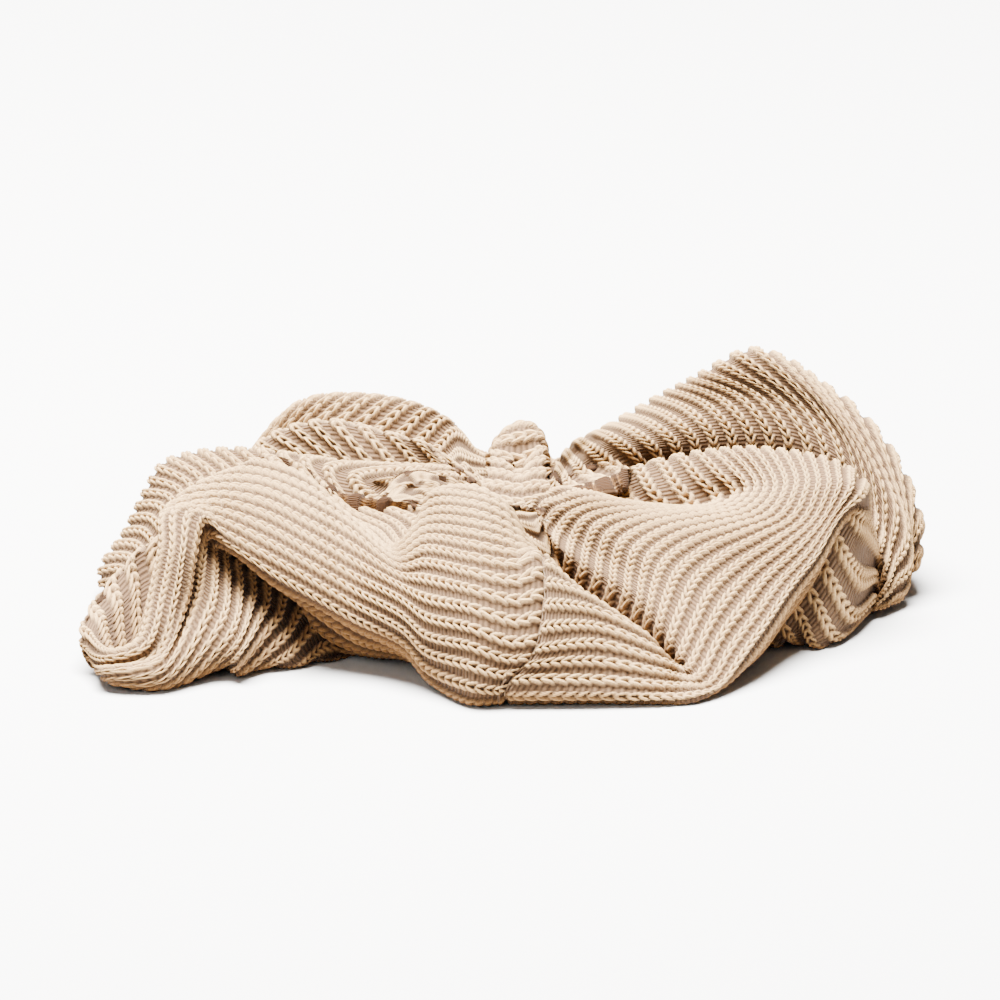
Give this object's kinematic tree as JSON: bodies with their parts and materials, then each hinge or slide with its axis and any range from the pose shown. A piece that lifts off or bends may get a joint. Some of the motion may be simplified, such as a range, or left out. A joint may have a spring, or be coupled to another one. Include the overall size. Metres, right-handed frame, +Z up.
{
  "type": "scrunchie",
  "caption": "Oversized rib-knit scrunchie: a knitted tube closed into a ring and gathered into soft folds on a flat elastic band that stretches.",
  "frame": {"origin": "middle of the bottom of the whole ring, on the surface that it lies on", "axes": "+Z up through the hair hole, -Y towards the closing seam at the front, +X to the right seen from the front"},
  "size_m": [0.1576, 0.1482, 0.046],
  "materials": {
    "rib_knit": "matte",
    "elastic_band": "matte",
    "sewing_thread": "matte"
  },
  "bodies": {
    "front_half": {"cover_front_left_side": "rib_knit", "cover_front_left_scoop": "rib_knit", "cover_front_panel_left": "rib_knit", "cover_front_panel_right": "rib_knit", "cover_front_right_fold": "rib_knit", "cover_front_right_side": "rib_knit", "cover_front_gather": "rib_knit", "closing_seam": "sewing_thread", "side_seam_front": "sewing_thread", "elastic_front": "elastic_band", "elastic_lap": "elastic_band", "elastic_tack": "sewing_thread"},
    "back_half": {"cover_back_right_side": "rib_knit", "cover_back_right_fold": "rib_knit", "cover_back_roll": "rib_knit", "cover_back_left_fold": "rib_knit", "cover_back_left_side": "rib_knit", "cover_back_gather": "rib_knit", "side_seam_back": "sewing_thread", "elastic_back": "elastic_band"}
  },
  "joints": [
    {"name": "stretch", "type": "slide", "parent": "front_half", "child": "back_half", "axis": [0, 1, 0], "range_m": [0, 0.06], "stiffness_N_per_m": 60}
  ]
}
